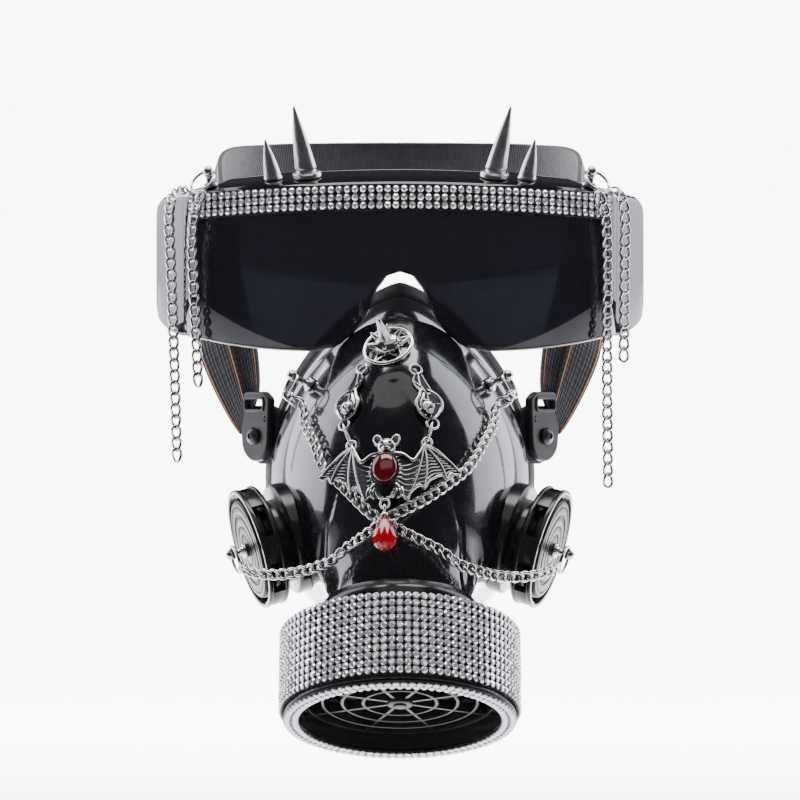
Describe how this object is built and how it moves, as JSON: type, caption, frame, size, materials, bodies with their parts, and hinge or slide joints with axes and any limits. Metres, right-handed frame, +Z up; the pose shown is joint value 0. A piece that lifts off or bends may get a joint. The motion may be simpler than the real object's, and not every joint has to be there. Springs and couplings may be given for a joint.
{
  "type": "gas mask style costume mask with tinted visor",
  "caption": "Black half mask with a front filter and side valves under a wraparound tinted visor, dressed with rhinestones, studs, chains and a bat ornament.",
  "frame": {"origin": "middle of the face opening, where the mask sits on the face", "axes": "+X to the right seen from the front, +Y back through the head, +Z up"},
  "size_m": [0.1782, 0.2847, 0.2277],
  "materials": {
    "visor_tint": "smoke tinted polycarbonate, clear edges",
    "mask_gloss": "piano black lacquer",
    "black_plastic": "fine satin moulding",
    "black_rubber": "dull moulded rubber",
    "nickel": "bright nickel plate",
    "antique_silver": "cast, darkened in the hollows",
    "rhinestone": "clear faceted stones on a silver backing",
    "elastic": "ribbed black elastic with thin orange lines",
    "ruby": "red faceted glass"
  },
  "bodies": {
    "root": {"bat": "antique_silver", "buckle_left": "black_plastic", "buckle_right": "black_plastic", "cabochon": "ruby", "chain_left_long": "nickel", "chain_left_short": "nickel", "chain_right_long": "nickel", "chain_right_short": "nickel", "chain_upper_left": "nickel", "chain_upper_right": "nickel", "drop_cap": "nickel", "face_seal": "black_rubber", "filter_band": "rhinestone", "filter_housing": "black_plastic", "filter_neck": "black_plastic", "filter_rim_trim": "rhinestone", "fold_left": "elastic", "fold_right": "elastic", "leaf_left": "antique_silver", "leaf_right": "antique_silver", "link_left": "antique_silver", "link_right": "antique_silver", "mask_body": "mask_gloss", "mask_ring_left": "nickel", "mask_ring_right": "nickel", "mask_stud_left": "nickel", "mask_stud_right": "nickel", "peg_left": "black_plastic", "peg_right": "black_plastic", "pentagram_ring": "nickel", "red_drop": "ruby", "spike_big_left": "nickel", "spike_big_right": "nickel", "spike_small_left": "nickel", "spike_small_right": "nickel", "strap_loop": "elastic", "stud_dome": "nickel", "tab_left": "black_rubber", "tab_right": "black_rubber", "temple_left": "visor_tint", "temple_right": "visor_tint", "valve_disc_left": "black_plastic", "valve_disc_right": "black_plastic", "valve_housing_left": "black_plastic", "valve_housing_right": "black_plastic", "valve_ring_left": "nickel", "valve_ring_right": "nickel", "valve_stud_left": "nickel", "valve_stud_right": "nickel", "visor_ring_left": "nickel", "visor_ring_right": "nickel", "visor_shell": "visor_tint", "visor_stud_left": "nickel", "visor_stud_right": "nickel", "visor_trim": "rhinestone"}
  },
  "joints": []
}
